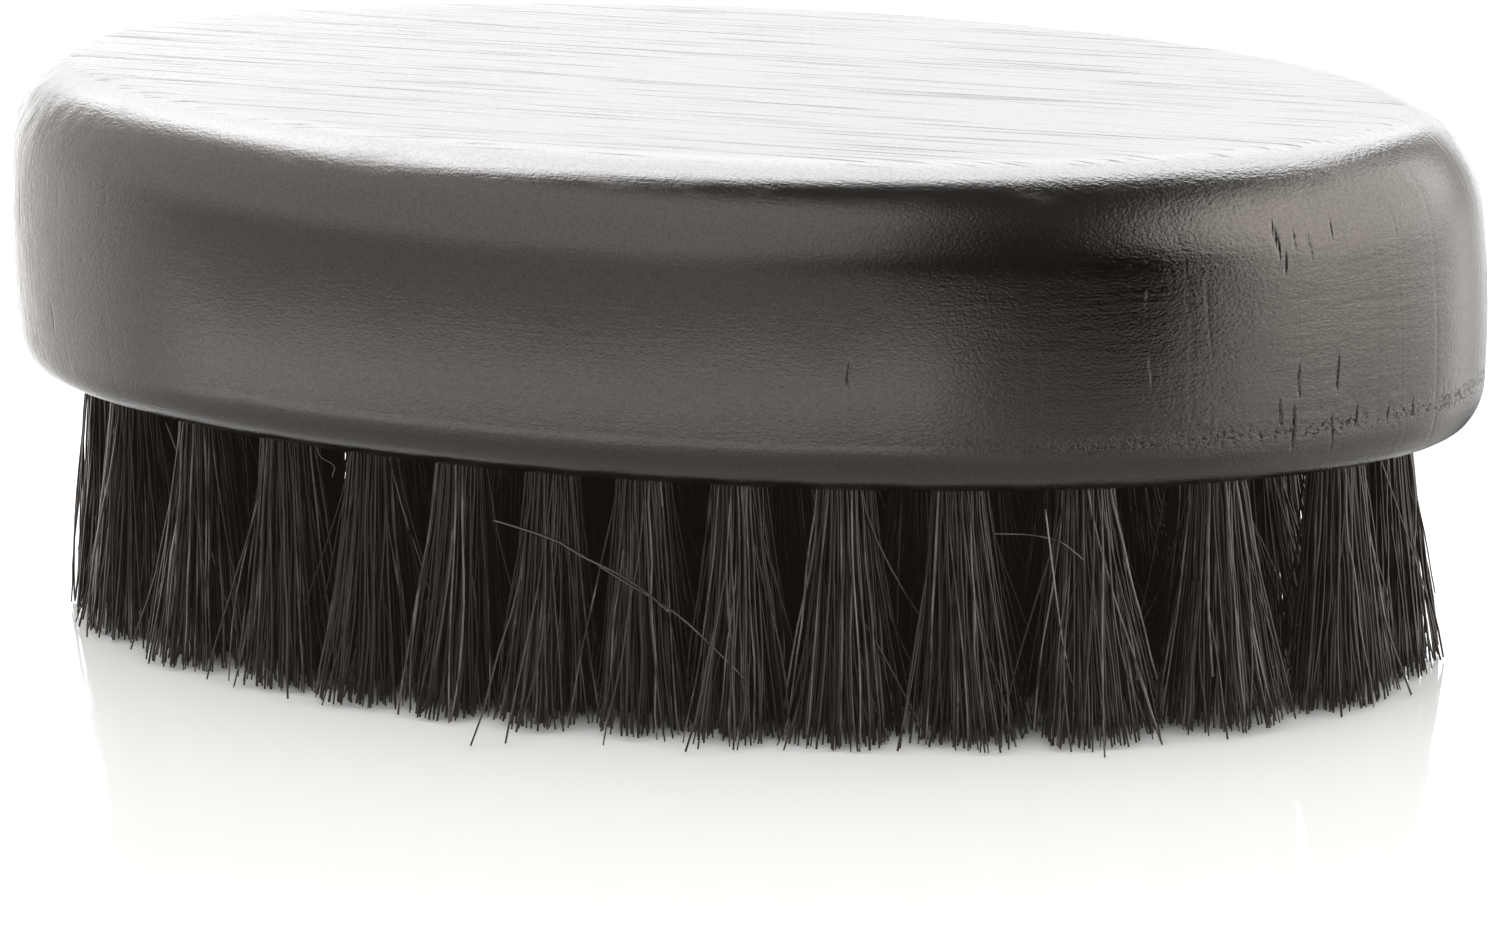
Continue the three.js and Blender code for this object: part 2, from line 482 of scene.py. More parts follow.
# Checks at one end, turned half round and shallower at the other: (angle in degrees round
# the oval, height in millimetres of its two ends over the underside, share of full depth)
CHECKS = [
    (-32.5, 20, 21.5, 0.35),
    (-31.5, 17.5, 19.5, 1.0),
    (-31, 16, 17, 0.9),
    (-29.5, 17, 19.5, 0.3),
    (-28, 17, 18.5, 0.6),
    (-25, 18, 19.5, 0.5),
    (-16.5, 16.5, 20, 0.35),
    (-17, 18.5, 20, 0.4),
    (-39, 10, 16, 0.07),
    (-44.5, 13.5, 15.5, 0.14),
    (-44.5, 8, 10.5, 0.16),
    (-30, 6.5, 9, 0.8),
    (-25.5, 6.5, 9.5, 0.7),
    (-30.5, 2.5, 6, 0.9),
    (-26, 2, 5, 0.6),
    (-30, 2.5, 19.5, 0.05),
    (-26, 2, 12.5, 0.06),
    (-32, 4.5, 6.5, 0.7),
    (-23, 3.5, 5.5, 0.6),
    (-18.5, 3.5, 5, 0.6),
    (-14.5, 3.5, 5, 0.6),
    (-68.5, 8.5, 10.5, 0.25),
    (8, 9, 13, 0.6),
    (14, 4, 8.5, 0.8),
    (27, 12, 15.5, 0.7),
    (35, 5, 7.5, 0.6),
]
CHECK_DEPTH = (0.13 * MM, 0.2 * MM)
CHECK_WIDTH = (0.055 * MM, 0.085 * MM)
FAR_END_CHECKS = 0.3
CHECK_WANDER = 0.07 * MM


def check_depths(points, rng):
    """Depth of the drying checks: short upright cracks in the end grain."""
    depth = np.zeros(len(points))
    angle = oval_angle(points)
    for turned, end_share in ((0, 1.0), (np.pi, FAR_END_CHECKS)):
        for degrees, low, high, share in CHECKS:
            middle = UNDERSIDE + (low + high) / 2 * MM
            half = (high - low) / 2 * MM
            deep = share * end_share * rng.uniform(*CHECK_DEPTH)
            off = (points[:, 2] - middle) / half
            wander = CHECK_WANDER * np.sin(2.3 * off + rng.uniform(0, 6))
            away = rim_distance(angle, math.radians(degrees) + turned)
            across = (away + wander) / rng.uniform(*CHECK_WIDTH)
            along = np.clip(1 - off**2, 0, 1)
            depth = np.maximum(depth, deep * np.exp(-across * across) * np.sqrt(along))
    return depth


PITS = (1000, 125)  # at the near end and at the far end
TORN_SHARE = 0.93  # of the near end's pits, the rest being scattered
TORN_HEIGHT = UNDERSIDE + BOTTOM_ROUND[1] + 0.4 * MM
TORN_SPREAD = 0.5 * MM
TORN_ANGLES = (-56, -15, 38)  # degrees round the oval: from, most, to
SCATTER_ANGLE = 0.6  # radians
SCATTER_HEIGHTS = (UNDERSIDE + 3 * MM, TOP - 6 * MM)
SCATTERED_DEPTH = 0.3  # share of a torn pit's
PIT_SIZE = (0.09 * MM, 0.2 * MM)
PIT_DEPTH = (0.02 * MM, 0.075 * MM)


def pit_depths(points, rng):
    """Small torn pits, most of them along the line where the bottom round-over begins."""
    depth = np.zeros(len(points))
    for end, count, torn_share in ((0, PITS[0], TORN_SHARE), (np.pi, PITS[1], 0)):
        for _ in range(count):
            torn = rng.random() < torn_share
            if torn:
                angle = math.radians(rng.triangular(*TORN_ANGLES))
                height = rng.normal(TORN_HEIGHT, TORN_SPREAD)
            else:
                angle = end + rng.normal(0, SCATTER_ANGLE)
                height = rng.uniform(*SCATTER_HEIGHTS)
            centre = np.array([HALF_LENGTH * math.cos(angle), HALF_WIDTH * math.sin(angle), height])
            size = rng.uniform(*PIT_SIZE)
            deep = rng.uniform(*PIT_DEPTH) * (1 if torn else SCATTERED_DEPTH)
            near = np.abs(points - centre).max(axis=1) < 4 * size
            offset = (points[near] - centre) / size
            offset[:, 2] *= rng.uniform(0.5, 1.0)
            depth[near] = np.maximum(depth[near], deep * np.exp(-(offset**2).sum(axis=1)))
    return depth


# Unevenness: (depth, cell size, squeeze along Z) of smooth noise, from coarse to fine
WAVES = (0.020 * MM, 7 * MM, 1)
RIPPLES = (0.010 * MM, 2.3 * MM, 1)
END_LUMPS = (0.004 * MM, 0.9 * MM, 1.6)
SHOULDER_LUMPS = (0.03 * MM, 1.3 * MM, 1)
SHOULDER_CRINKLE = (0.013 * MM, 0.5 * MM, 0.6)
END_CRINKLE = (0.004 * MM, 0.4 * MM, 0.5)
SIDE_RIPPLES = 0.4  # share of the ripples that the long sides have
SHOULDER_HEIGHT = TOP - 2.5 * MM
SHOULDER_REACH = 2 * MM
END_SHARES = (1.8, 0.45)  # crinkling of the left and of the right end


def lumps(points, look, seed):
    deep, cell, squeeze = look
    return deep * lump_field(points * [1, 1, squeeze], cell, seed)


def unevenness(points):
    """Depth below the smooth shape, where the lacquer sags and crinkles."""
    ends = end_grain(points)
    shoulder = np.exp(-(((points[:, 2] - SHOULDER_HEIGHT) / SHOULDER_REACH) ** 2))
    crinkling = ends * np.where(points[:, 0] < 0, *END_SHARES)
    depth = lumps(points, WAVES, SEED + 1)
    depth += lumps(points, RIPPLES, SEED + 2) * (SIDE_RIPPLES + ends)
    depth += lumps(points, END_LUMPS, SEED + 3) * ends
    depth += lumps(points, SHOULDER_LUMPS, SEED + 4) * crinkling * shoulder
    depth += lumps(points, SHOULDER_CRINKLE, SEED + 5) * crinkling * shoulder
    depth += lumps(points, END_CRINKLE, SEED + 6) * crinkling
    return depth


def block_surface():
    """Vertices of the block's side, row by row from the underside's rim to the flat top's."""
    t = oval_angles()
    rows = profile_rows()
    normal = np.stack([np.cos(t) / HALF_LENGTH, np.sin(t) / HALF_WIDTH], 1)
    normal /= np.linalg.norm(normal, axis=1, keepdims=True)
    rim = np.stack([HALF_LENGTH * np.cos(t), HALF_WIDTH * np.sin(t)], 1)

    def with_height(across, up):
        up = np.broadcast_to(up[:, None, None], (*across.shape[:2], 1))
        return np.concatenate([across, up], 2).reshape(-1, 3)

    inset, height = rows.T
    points = with_height(rim[None] - inset[:, None, None] * normal[None], height)
    slope = np.gradient(rows, axis=0)
    slope /= np.linalg.norm(slope, axis=1, keepdims=True)
    up, out = slope.T
    surface_normal = with_height(out[:, None, None] * normal[None], up)
    rng = np.random.default_rng(SEED)
    depth = unevenness(points) + ridge_depths(points, rng) + check_depths(points, rng)
    depth += ring_depths(points, rng) + pit_depths(points, rng)
    fade = np.ones(len(rows))
    fade[:2] = 0
    fade[-3:] = 0
    depth *= np.repeat(fade, len(t))
    return points - surface_normal * depth[:, None], len(rows), len(t)


def hole_centres():
    return [tuft_facts(name)["root"] for name in TUFTS]


HOLE_SIDES = 28
HOLE_CHAMFER = 0.12 * MM
DRILL_POINT = 0.6 * MM


def fill_flat(rim, holes, height, facing):
    """Triangles over a flat face inside rim, leaving out the round holes."""
    grid = TOP_GRID
    count = len(rim)
    points = [Vector(p) for p in rim]
    loops = [list(range(count))]
    for centre, radius in holes:
        start = len(points)
        for i in range(HOLE_SIDES):
            a = 2 * math.pi * i / HOLE_SIDES
            points.append(Vector((centre[0] + radius * math.cos(a), centre[1] + radius * math.sin(a))))
        loops.append(list(range(start, len(points))))
    inside = (HALF_LENGTH - TOP_ROUND[0] - 2 * grid, HALF_WIDTH - TOP_ROUND[0] - 2 * grid)
    steps = int(HALF_LENGTH / grid) + 1
    for i in range(-steps, steps + 1):
        for j in range(-steps, steps + 1):
            x, y = i * grid, (j + 0.5 * (i % 2)) * grid
            clear = all(math.hypot(x - c[0], y - c[1]) > r + 0.4 * grid for c, r in holes)
            if (x / inside[0]) ** 2 + (y / inside[1]) ** 2 < 1 and clear:
                points.append(Vector((x, y)))
    edges = [(loop[i], loop[(i + 1) % len(loop)]) for loop in loops for i in range(len(loop))]
    verts, _, faces, *_ = delaunay_2d_cdt(points, edges, [], 0, 1e-9)
    kept = []
    for face in faces:
        middle = sum((verts[i] for i in face), Vector((0, 0))) / len(face)
        outside = (middle.x / HALF_LENGTH) ** 2 + (middle.y / HALF_WIDTH) ** 2 > 1
        in_hole = any(math.hypot(middle.x - c[0], middle.y - c[1]) < r * 0.985 for c, r in holes)
        if not outside and not in_hole:
            kept.append(list(face) if facing > 0 else list(face)[::-1])
    return [(v.x, v.y, height) for v in verts], kept, loops


def make_block():
    side, row_count, around = block_surface()
    verts = [tuple(p) for p in side]
    faces = []
    for r in range(row_count - 1):
        for c in range(around):
            d = (c + 1) % around
            low, high = r * around, (r + 1) * around
            faces.append((low + c, low + d, high + d, high + c))
    top_rim = [(p[0], p[1]) for p in side[-around:]]
    bottom_rim = [(p[0], p[1]) for p in side[:around]]
    mouths = [(c, HOLE_RADIUS + HOLE_CHAMFER) for c in hole_centres()]
    for rim, holes, height, facing in ((top_rim, [], TOP, 1), (bottom_rim, mouths, UNDERSIDE, -1)):
        new, triangles, loops = fill_flat(rim, holes, height, facing)
        base = len(verts)
        shared = (row_count - 1) * around if facing > 0 else 0
        # the face's first vertices are the rim, which the side already has
        index = [shared + i if i < around else base + i - around for i in range(len(new))]
        verts.extend(new[around:])
        faces.extend(tuple(index[i] for i in f) for f in triangles)
        for (centre, _), loop in zip(holes, loops[1:]):
            add_hole(verts, faces, centre, [index[i] for i in loop])
    block = new_piece("block", verts, faces, smooth_angle=40)
    block.data.materials.append(lacquered_wood())
    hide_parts("handle_block")
    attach(block, "root")


def add_hole(verts, faces, centre, mouth):
    """The drilled wall and the cone that the drill's point leaves, under one mouth."""
    previous = mouth
    for deep in (HOLE_CHAMFER, HOLE_DEPTH / 2, HOLE_DEPTH - DRILL_POINT):
        start = len(verts)
        for i in range(HOLE_SIDES):
            a = 2 * math.pi * i / HOLE_SIDES
            x, y = HOLE_RADIUS * math.cos(a), HOLE_RADIUS * math.sin(a)
            verts.append((centre[0] + x, centre[1] + y, UNDERSIDE + deep))
        ring = list(range(start, start + HOLE_SIDES))
        for i in range(HOLE_SIDES):
            j = (i + 1) % HOLE_SIDES
            faces.append((previous[i], previous[j], ring[j], ring[i]))
        previous = ring
    verts.append((centre[0], centre[1], UNDERSIDE + HOLE_DEPTH))
    for i in range(HOLE_SIDES):
        faces.append((previous[i], previous[(i + 1) % HOLE_SIDES], len(verts) - 1))


def new_piece(name, verts, faces, smooth_angle=None):
    mesh = bpy.data.meshes.new(name)
    mesh.from_pydata(verts, [], faces)
    mesh.validate()
    mesh.shade_smooth()
    if smooth_angle is not None:
        mesh.set_sharp_from_angle(angle=math.radians(smooth_angle))
    piece = bpy.data.objects.new(name, mesh)
    bpy.context.scene.collection.objects.link(piece)
    return piece


# The grain runs along X, so its noise is drawn out along X: (scale, detail, roughness, stretch)
PORES = (3600, 2, 0.5, (0.016, 1, 1))
GRAIN = (560, 3, 0.6, (0.03, 1, 1))
LINES = (3600, 4, 0.65, (0.02, 1, 1))
FINE = (6000, 3, 0.6, (0.03, 1, 1))
PEEL = (3900, 3, 0.55, (1, 1, 1.4))
RINGS = (1100, 5, 0.7, (0.12, 0.16, 1))
PATCHES = (60, 3, 0.5, (0.4, 1, 1))
TORN = (3000, 3, 0.6, (1, 1, 1))
RUBBED = (420, 4, 0.65, (0.35, 0.6, 1))
SPECKLE = (4600, 3, 0.65, (1, 1, 1))
CRINKLE = (2300, 5, 0.65, (1, 1, 1.2))
DARK_GRAIN, PALE_GRAIN = (0.0005, 0.0004, 0.0003), (0.0014, 0.0011, 0.0009)
RUBBED_COLOR = (0.0065, 0.0040, 0.0026, 1)
LACQUER_TINT = (1.0, 0.925, 0.86, 1)
LACQUER_ROUGHNESS = 0.085
LACQUER_GLOSS = 0.5
BUMP_HEIGHT = 0.1 * MM


def lacquered_wood():
    mat, tree = material("lacquered_wood")
    position = add(tree, "ShaderNodeTexCoord").outputs["Object"]
    axes = add(tree, "ShaderNodeSeparateXYZ", {"Vector": position})
    x, z = axes.outputs["X"], axes.outputs["Z"]
    aside = math_node(tree, "ABSOLUTE", x)
    ends = smooth_range(tree, aside, 0.36 * HALF_LENGTH, 0.84 * HALF_LENGTH)

    def share(look, low, high):
        return smooth_range(tree, noise(tree, position, *look), low, high)

    # open pores, seen as short dark lines on the flat top
    on_top = smooth_range(tree, z, TOP - 0.4 * MM, TOP - 0.05 * MM)
    pores = times(tree, share(PORES, 0.54, 0.66), on_top)
    # torn grain along the line where the bottom round-over starts, towards the right end
    off_line = math_node(tree, "ABSOLUTE", minus(tree, z, UNDERSIDE + BOTTOM_ROUND[1]))
    torn = smooth_range(tree, off_line, 0.2 * MM, 1.0 * MM, 1.0, 0.0)
    torn = times(tree, torn, smooth_range(tree, x, 0.36 * HALF_LENGTH, 0.8 * HALF_LENGTH))
    torn = times(tree, torn, share(TORN, 0.5, 0.64))
    # the lacquer is rubbed thin in places along both rims
    off_rim = math_node(tree, "ABSOLUTE", minus(tree, z, TOP - 1.4 * MM))
    upper = smooth_range(tree, off_rim, 0.5 * MM, 1.5 * MM, 1.0, 0.0)
    lower = smooth_range(tree, z, UNDERSIDE + 0.3 * MM, UNDERSIDE + 1.1 * MM, 1.0, 0.0)
    worn = times(tree, math_node(tree, "MAXIMUM", upper, lower), share(RUBBED, 0.5, 0.72))
    # it has crinkled over the shoulder of the left end, and a little down its wall
    crinkled = smooth_range(tree, x, -0.72 * HALF_LENGTH, -0.92 * HALF_LENGTH)
    down = smooth_range(tree, z, TOP - 8 * MM, TOP - 3 * MM, 0.25, 1.0)
    crinkled = times(tree, crinkled, down)

    grain = noise(tree, position, *GRAIN)
    fine = noise(tree, position, *FINE)
    color = add(
        tree,
        "ShaderNodeMix",
        {
            "Factor": times(tree, worn, 0.7),
            "A": ramp(tree, grain, [(0.3, DARK_GRAIN), (0.7, PALE_GRAIN)]),
            "B": RUBBED_COLOR,
        },
        data_type="RGBA",
    ).outputs["Result"]
    patches = times(tree, noise(tree, position, *PATCHES), 0.06)
    rough = plus(tree, patches, LACQUER_ROUGHNESS, times(tree, fine, 0.05), times(tree, worn, 0.16))
    gloss = minus(tree, LACQUER_GLOSS, times(tree, pores, 0.4))
    gloss = minus(tree, gloss, times(tree, torn, 0.35))
    speckle = smooth_range(tree, noise(tree, position, *SPECKLE), 0.38, 0.68, -0.035, 0.075)
    gloss = minus(tree, gloss, speckle)

    lines = times(tree, noise(tree, position, *LINES), 0.17)
    streaks = plus(tree, times(tree, grain, 0.12), times(tree, fine, 0.05), lines)
    streaks = times(tree, streaks, smooth_range(tree, z, TOP - 4 * MM, TOP, 0.45, 1.0))
    streaks = minus(tree, streaks, times(tree, torn, 0.45))
    peel = times(tree, noise(tree, position, *PEEL), plus(tree, times(tree, ends, 0.2), 0.13))
    rings = times(tree, noise(tree, position, *RINGS), times(tree, ends, 0.5))
    crinkle = times(tree, noise(tree, position, *CRINKLE), times(tree, crinkled, 0.75))
    height = plus(tree, streaks, peel, rings, crinkle)
    bump = add(tree, "ShaderNodeBump", {"Strength": 1.0, "Distance": BUMP_HEIGHT, "Height": height})
    shader = add(
        tree,
        "ShaderNodeBsdfPrincipled",
        {
            "Base Color": color,
            "Roughness": rough,
            "IOR": 1.5,
            "Specular IOR Level": gloss,
            "Specular Tint": LACQUER_TINT,
            "Normal": bump.outputs["Normal"],
        },
    )
    add(tree, "ShaderNodeOutputMaterial", {"Surface": shader.outputs["BSDF"]})
    return mat


# ================================================================ bristles
def tuft_facts(name):
    """Where a CAD tuft stands, and the oval that its tips cover."""
    co = np.array([v.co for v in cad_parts[name].data.vertices])
    unique = np.unique(np.round(co / (0.01 * MM)), axis=0) * (0.01 * MM)
    tip = unique[unique[:, 2] < 0.05 * MM][:, :2]
    root = unique[unique[:, 2] > UNDERSIDE + 1 * MM][:, :2]
    centre = (tip.max(axis=0) + tip.min(axis=0)) / 2
    reach = np.linalg.norm(tip - centre, axis=1)
    rim = tip[reach > 0.5 * reach.max()]
    centre = rim.mean(axis=0)
    spread = (rim - centre).T @ (rim - centre) / len(rim) * 2
    values, vectors = np.linalg.eigh(spread)
    shape = vectors @ np.diag(np.sqrt(values)) @ vectors.T
    rim_root = root[np.linalg.norm(root - root.mean(axis=0), axis=1) > 1 * MM]
    root = rim_root.mean(axis=0)
    outward = np.zeros(2)
    if name.startswith("outer"):
        outward = root / [HALF_LENGTH**2, HALF_WIDTH**2]
        outward /= np.linalg.norm(outward)
    return {"root": root, "tip": centre, "shape": shape, "outward": outward}


LEG_STEPS = 10
FOLD_STEPS = 4
FAN_CURVE = 1.2
# Shares of the bristles that stray from their tuft, have a bend, or stop short of the tips
WILD_SHARE = 0.18
KINKED_SHARE = 0.07
SHORT_SHARE = 0.06
# How far the tips scatter, as shares of the tuft's spread
TIP_SCATTER = 0.12
WILD_SCATTER = 0.55
# Heights of the tips: the lowest, the uneven cut, the rise towards the tuft's rim, short ones
LOWEST_TIP = 0.04 * MM
UNEVEN_CUT = 0.18 * MM
RIM_RISE = 0.08 * MM
SHORT_RISE = (0.5, 5.5)  # mm
# How far the bristles swing sideways: in one bow, in an S, in short waves, past a bend
BOW = 0.25 * MM
WILD_BOW = 3  # times as much
SWIRL = 0.10 * MM
RIPPLE = 0.035 * MM
KINK = 3.2 * MM
KINK_START = (0.25, 0.8)  # share of the way down
OUTWARD_FLARE = 0.45  # how much further the long sides' bristles lean out of the ring
CALM_ENDS = 0.55  # how much less the bristles stray at the two ends
HELD_BACK = 0.6  # share by which the ones that reach out past their tuft are drawn in
# What the bristles of one tuft have in common
TUFT_LIFT = 0.3 * MM
TUFT_SPREAD = (0.98, 1.16)
TUFT_LEAN = 0.09
STRAND_RADIUS = (0.070, 0.132)  # mm
STRAND_TAPER = 0.28  # how much thinner the tips are
ROOT_SCATTER = 0.03 * MM
FOLD_SCATTER = 0.05 * MM


def leg_points(rng, side_offset, facts, lift, spread, lean):
    """Points of one leg of each strand, from the block's underside down to the tip."""
    count = len(side_offset)
    unit = side_offset / ROOT_RADIUS
    tip_unit = unit * spread + lean + rng.normal(0, TIP_SCATTER, (count, 2))
    wild = rng.random(count) < WILD_SHARE
    outward = facts["outward"]
    calm = 1 - CALM_ENDS * abs(outward[0])
    tip_unit[wild] += rng.normal(0, WILD_SCATTER * calm, (wild.sum(), 2))
    tip = facts["tip"] - facts["root"] + tip_unit @ facts["shape"]
    reach = tip @ outward
    furthest = (facts["tip"] - facts["root"]) @ outward + np.linalg.norm(facts["shape"] @ outward)
    moved = OUTWARD_FLARE * outward[1] ** 2 * np.maximum(reach, 0)
    moved -= HELD_BACK * np.maximum(reach - furthest, 0)
    tip += moved[:, None] * outward
    rise = LOWEST_TIP + lift + rng.exponential(UNEVEN_CUT, count) + RIM_RISE * (unit**2).sum(axis=1)
    short = rng.random(count) < SHORT_SHARE
    rise[short] += rng.uniform(*SHORT_RISE, short.sum()) * MM
    bow = rng.normal(0, BOW, (count, 2))
    bow[wild] *= WILD_BOW * calm
    swirl = rng.normal(0, SWIRL, (count, 2))
    ripple = rng.normal(0, RIPPLE, (count, 2))
    kink = rng.normal(0, KINK * calm, (count, 2)) * (rng.random(count) < KINKED_SHARE)[:, None]
    kink_start = rng.uniform(*KINK_START, count)[:, None]
    points = np.zeros((count, LEG_STEPS, 3))
    for k, step in enumerate(np.linspace(0, 1, LEG_STEPS)):
        fan = step**FAN_CURVE
        turn = math.pi * step
        across = side_offset * (1 - fan) + tip * fan
        across = across + bow * math.sin(turn) * step + swirl * math.sin(2 * turn)
        across = across + ripple * math.sin(5 * turn) + kink * np.maximum(0, step - kink_start)
        points[:, k, :2] = facts["root"] + across
        points[:, k, 2] = UNDERSIDE * (1 - step) + rise * step
    return points


def strand_paths(rng, facts, count):
    """Each strand goes up one side of the anchor, over it, and down the other side.

    The roots fill half a disc evenly, in the spiral of a sunflower's seeds.
    """
    golden = math.pi * (3 - math.sqrt(5))
    index = np.arange(4 * count)
    radius = np.sqrt((index + 0.5) / (2 * count))
    angle = index * golden
    disc = np.stack([radius * np.cos(angle), radius * np.sin(angle)], 1)
    disc = disc[(disc[:, 1] > 0.08) & (radius <= 1)][:count] * ROOT_RADIUS
    disc += rng.normal(0, ROOT_SCATTER, disc.shape)
    mirrored = disc * [1, -1] + rng.normal(0, FOLD_SCATTER, disc.shape)
    habit = rng.uniform(0, TUFT_LIFT), rng.uniform(*TUFT_SPREAD), rng.normal(0, TUFT_LEAN, 2)
    first = leg_points(rng, disc, facts, *habit)
    second = leg_points(rng, mirrored, facts, *habit)
    fold = np.zeros((len(disc), FOLD_STEPS, 3))
    for k in range(FOLD_STEPS):
        turn = math.pi * k / (FOLD_STEPS - 1)
        share = 0.5 * (1 + math.cos(turn))
        across = disc * share + mirrored * (1 - share)
        fold[:, k, :2] = facts["root"] + across
        fold[:, k, 2] = ANCHOR_TOP + np.abs(disc[:, 1]) * 0.8 * math.sin(turn)
    return np.concatenate([first[:, ::-1], fold, second], axis=1)


def tube_mesh(name, paths, radii):
    """One mesh of tubes along paths (strands, steps, 3), with radii (strands, steps)."""
    strands, steps, _ = paths.shape
    tangent = np.gradient(paths, axis=1)
    tangent /= np.linalg.norm(tangent, axis=2, keepdims=True)
    side = np.cross(tangent, np.array([0.31, 0.9, 0.29]))
    side /= np.linalg.norm(side, axis=2, keepdims=True)
    other = np.cross(tangent, side)
    angles = 2 * np.pi * np.arange(STRAND_SIDES) / STRAND_SIDES
    ring = (
        side[:, :, None] * np.cos(angles)[None, None, :, None]
        + other[:, :, None] * np.sin(angles)[None, None, :, None]
    )
    verts = paths[:, :, None] + ring * radii[:, :, None, None]
    verts = verts.reshape(-1, 3)
    sides = np.arange(STRAND_SIDES)
    after = (sides + 1) % STRAND_SIDES
    quads = []
    for s in range(steps - 1):
        low, high = s * STRAND_SIDES, (s + 1) * STRAND_SIDES
        quads.append(np.stack([low + sides, low + after, high + after, high + sides], 1))
    quads = np.concatenate(quads)
    base = (np.arange(strands) * steps * STRAND_SIDES)[:, None, None]
    quads = (quads[None] + base).reshape(-1, 4)
    first_cap = base[:, :, 0] + sides[::-1][None]
    last_cap = base[:, :, 0] + (steps - 1) * STRAND_SIDES + sides[None]
    caps = np.concatenate([first_cap, last_cap])
    mesh = bpy.data.meshes.new(name)
    mesh.vertices.add(len(verts))
    mesh.vertices.foreach_set("co", verts.ravel())
    loops = np.concatenate([quads.ravel(), caps.ravel()])
    mesh.loops.add(len(loops))
    mesh.loops.foreach_set("vertex_index", loops)
    mesh.polygons.add(len(quads) + len(caps))
    quad_starts = np.arange(len(quads)) * 4
    cap_starts = len(quads) * 4 + np.arange(len(caps)) * STRAND_SIDES
    mesh.polygons.foreach_set("loop_start", np.concatenate([quad_starts, cap_starts]))
    mesh.update(calc_edges=True)
    mesh.validate()
    mesh.shade_smooth()
    piece = bpy.data.objects.new(name, mesh)
    bpy.context.scene.collection.objects.link(piece)
    return piece


def strand_tone(piece, rng, strands, steps):
    """A random tone for each strand, kept on its points."""
    tone = np.repeat(rng.random(strands) ** 1.5, steps * STRAND_SIDES)
    layer = piece.data.attributes.new("tone", "FLOAT", "POINT")
    layer.data.foreach_set("value", tone.astype(np.float32))


def make_bristles():
    looks = bristle_material("bristle", 0.27, 0.24)
    wire = anchor_material()
    for number, name in enumerate(TUFTS):
        rng = np.random.default_rng(SEED + 100 + number)
        facts = tuft_facts(name)
        count = STRANDS[name.split("_")[0]]
        paths = strand_paths(rng, facts, count)
        strands, steps, _ = paths.shape
        thick = rng.uniform(*STRAND_RADIUS, strands)[:, None] * MM
        along = np.abs(np.linspace(-1, 1, steps))[None]
        radii = thick * (1 - STRAND_TAPER * along**2)
        piece = tube_mesh(name.replace("_tuft_", "_bristles_"), paths, radii)
        strand_tone(piece, rng, strands, steps)
        piece.data.materials.append(looks)
        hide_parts(name)
        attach(piece, "root")
        make_anchor(name.replace("_tuft_", "_anchor_"), facts["root"], wire)
    make_strays(bristle_material("loose_bristle", 0.12, 0.5))


# Bristles that have worked loose, as points: (angle in degrees round the oval of the outer
# ring's roots, distance outside that oval, height), in millimetres
STRAYS = [
    [(-98, 3, 15.5), (-91.5, 3.5, 14.5), (-86.5, 4, 12), (-82, 4, 10), (-76, 4, 4.5)],
    [(-92, 3.5, 14.5), (-89.5, 4, 13.5), (-86.5, 4, 12.5), (-84, 4, 11), (-82.5, 4.5, 10)],
    [(-116.5, 2, 20), (-116, 2.5, 18.5), (-114, 2.5, 18), (-114.5, 2.5, 17)],
    [(-55, 2.5, 16), (-51.5, 3, 16), (-49, 3.5, 15.5), (-47, 3.5, 14)],
    [(-2, 2, 18), (0.5, 3, 13.5), (9, 4.5, 5), (9.5, 5, 2)],
    [(-163.5, 2.5, 18.5), (-164.5, 3.5, 10), (-165, 4, 3.5), (-165, 4.5, 0.5)],
    [(-50.5, 3.5, 18), (-49.5, 4, 8), (-48, 4.5, 2), (-48, 4.5, 0.5)],
    [(-137.5, 2.5, 18.5), (-133.5, 2, 12), (-129.5, 2, 5), (-127.5, 2, 1)],
]
THICK_STRAYS = 2  # the first ones of the list
STRAY_RADIUS = (0.07 * MM, 0.12 * MM)
STRAY_STEPS = 24


def make_strays(looks):
    roots = np.array([tuft_facts(name)["root"] for name in TUFTS if name.startswith("outer")])
    ring = np.abs(roots).max(axis=0)
    for number, corners in enumerate(STRAYS):
        angle, outside, height = np.array(corners).T
        angle, outside = np.radians(angle), outside * MM
        corners = np.stack(
            [(ring[0] + outside) * np.cos(angle), (ring[1] + outside) * np.sin(angle), height * MM], 1
        )
        steps = np.linspace(0, len(corners) - 1, STRAY_STEPS)
        path = np.stack([np.interp(steps, range(len(corners)), corners[:, k]) for k in range(3)], 1)
        for _ in range(6):
            path[1:-1] = (path[:-2] + 2 * path[1:-1] + path[2:]) / 4
        radii = STRAY_RADIUS[number < THICK_STRAYS] * np.linspace(1, 0.7, STRAY_STEPS)
        piece = tube_mesh(f"stray_bristle_{number + 1:02d}", path[None], radii[None])
        strand_tone(piece, np.random.default_rng(SEED + 900 + number), 1, STRAY_STEPS)
        piece.data.materials.append(looks)
        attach(piece, "root")


# Painted glints: the streak noise and the pale end of the tone ramp lighten the hair's base colour in short
# stretches along some strands. The dark end of the ramp is the hair's own random tone.
BRISTLE_GLINT_STREAKS = (700, 3, 0.6, (1, 1, 0.3))
BRISTLE_TONES_AND_GLINTS = [
    (0.24, (0.0011, 0.0008, 0.0007)),
    (0.54, (0.0030, 0.0022, 0.0019)),
    (0.65, (0.012, 0.0094, 0.0084)),
    (0.77, (0.085, 0.072, 0.067)),
]
BRISTLE_TINT = (1.0, 0.88, 0.8, 1)


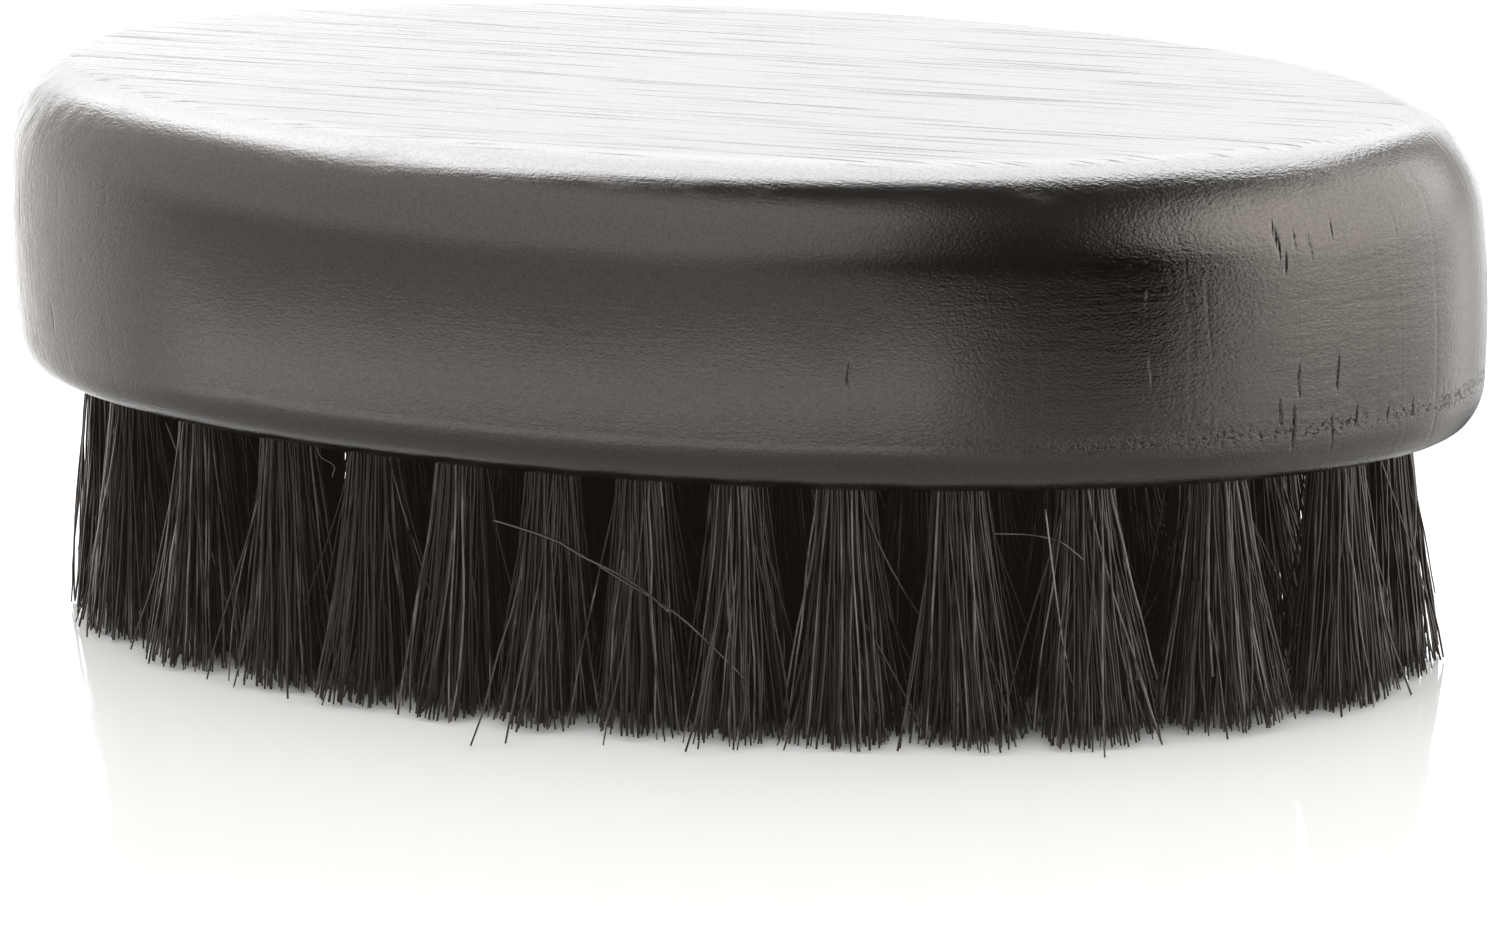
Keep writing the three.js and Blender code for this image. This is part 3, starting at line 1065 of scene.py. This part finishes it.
def bristle_material(name, roughness, gloss):
    """Near-black hair, with painted glints: paler base colour along short stretches of some strands."""
    mat, tree = material(name)
    tone = add(tree, "ShaderNodeAttribute", attribute_name="tone").outputs["Fac"]
    position = add(tree, "ShaderNodeTexCoord").outputs["Object"]
    # painted glints: noise drawn out along the strands lightens the base colour in short stretches
    glint_streak = noise(tree, position, *BRISTLE_GLINT_STREAKS)
    mixed = plus(tree, times(tree, tone, 0.48), times(tree, glint_streak, 0.56))
    shader = add(
        tree,
        "ShaderNodeBsdfPrincipled",
        {
            "Base Color": ramp(tree, mixed, BRISTLE_TONES_AND_GLINTS),
            "Roughness": roughness,
            "IOR": 1.55,
            "Specular IOR Level": gloss,
            "Specular Tint": BRISTLE_TINT,
        },
    )
    add(tree, "ShaderNodeOutputMaterial", {"Surface": shader.outputs["BSDF"]})
    return mat


# ================================================================ anchors
def make_anchor(name, centre, wire):
    """A short flat wire across the hole, standing on edge, with its ends bitten into the wood."""
    half = ANCHOR_LENGTH / 2
    low, high = ANCHOR_TOP - ANCHOR_HEIGHT, ANCHOR_TOP
    thick = ANCHOR_THICKNESS / 2
    edge = 0.07 * MM
    outline = [
        (-half + edge, low),
        (half - edge, low),
        (half, low + edge),
        (half, high - 3 * edge),
        (half - 3 * edge, high),
        (-half + 3 * edge, high),
        (-half, high - 3 * edge),
        (-half, low + edge),
    ]
    verts = []
    for y, shrink in ((-thick, edge), (-thick + edge, 0), (thick - edge, 0), (thick, edge)):
        for x, z in outline:
            middle = (low + high) / 2
            verts.append(
                (
                    centre[0] + x * (1 - shrink / half),
                    centre[1] + y,
                    middle + (z - middle) * (1 - 2 * shrink / ANCHOR_HEIGHT),
                )
            )
    n = len(outline)
    faces = [tuple(range(n)), tuple(range(4 * n - 1, 3 * n - 1, -1))]
    for r in range(3):
        for i in range(n):
            j = (i + 1) % n
            faces.append((r * n + j, r * n + i, (r + 1) * n + i, (r + 1) * n + j))
    anchor = new_piece(name, verts, faces, smooth_angle=35)
    anchor.data.materials.append(wire)
    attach(anchor, "root")


DRAWN_LINES = (5000, 3, 0.6, (0.05, 1, 1))
DARK_BRASS, PALE_BRASS = (0.42, 0.28, 0.09), (0.62, 0.45, 0.18)


def anchor_material():
    mat, tree = material("anchor_wire")
    position = add(tree, "ShaderNodeTexCoord").outputs["Object"]
    drawn = noise(tree, position, *DRAWN_LINES)
    color = ramp(tree, drawn, [(0.3, DARK_BRASS), (0.7, PALE_BRASS)])
    shader = add(
        tree,
        "ShaderNodeBsdfPrincipled",
        {"Base Color": color, "Roughness": 0.38, "Metallic": 1.0},
    )
    add(tree, "ShaderNodeOutputMaterial", {"Surface": shader.outputs["BSDF"]})
    return mat


set_colours()
make_camera()
make_world()
make_floor()
make_block()
make_bristles()
